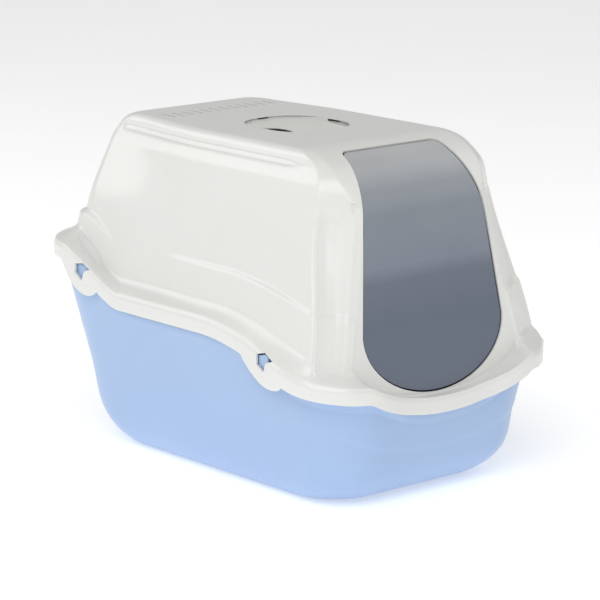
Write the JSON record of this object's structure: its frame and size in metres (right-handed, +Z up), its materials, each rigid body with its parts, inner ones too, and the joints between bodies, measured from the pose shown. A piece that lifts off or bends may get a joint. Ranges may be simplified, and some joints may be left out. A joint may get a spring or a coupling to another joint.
{
  "type": "hooded cat litter box",
  "caption": "Covered litter box: deep plastic tray, lift-off hood, swinging see-through entry flap, roof carry handle and vented filter.",
  "frame": {"origin": "centre of the whole box's footprint, on the floor under the tray", "axes": "+Z up; -Y towards the entry flap; +Y along the length to the rear; +X across the width"},
  "size_m": [0.39, 0.57, 0.411],
  "materials": {
    "tray_plastic": "satin moulded plastic",
    "hood_plastic": "glossy moulded plastic",
    "flap_plastic": "smoked see-through plastic",
    "handle_plastic": "satin moulded plastic",
    "inner_plastic": "matte moulded plastic",
    "carbon_felt": "fibrous carbon felt"
  },
  "bodies": {
    "tray": {"base_tray": "tray_plastic"},
    "hood": {"hood": "hood_plastic", "filter_frame": "inner_plastic", "carbon_filter": "carbon_felt"},
    "flap": {"door_flap": "flap_plastic"},
    "handle": {"carry_handle": "handle_plastic"},
    "cover": {"filter_cover": "inner_plastic"}
  },
  "joints": [
    {"name": "hood_lift", "type": "slide", "parent": "tray", "child": "hood", "axis": [0, 0, 1], "range_m": [0, 0.25]},
    {"name": "flap_swing", "type": "hinge", "parent": "hood", "child": "flap", "pos_m": [0, -0.218, 0.35], "axis": [1, 0, 0], "range_deg": [-60, 60]},
    {"name": "handle_lift", "type": "slide", "parent": "hood", "child": "handle", "axis": [0, 0, 1], "range_m": [0, 0.012]},
    {"name": "filter_cover_hinge", "type": "hinge", "parent": "hood", "child": "cover", "pos_m": [0, 0.172, 0.39495], "axis": [1, 0, 0], "range_deg": [0, 85]}
  ]
}
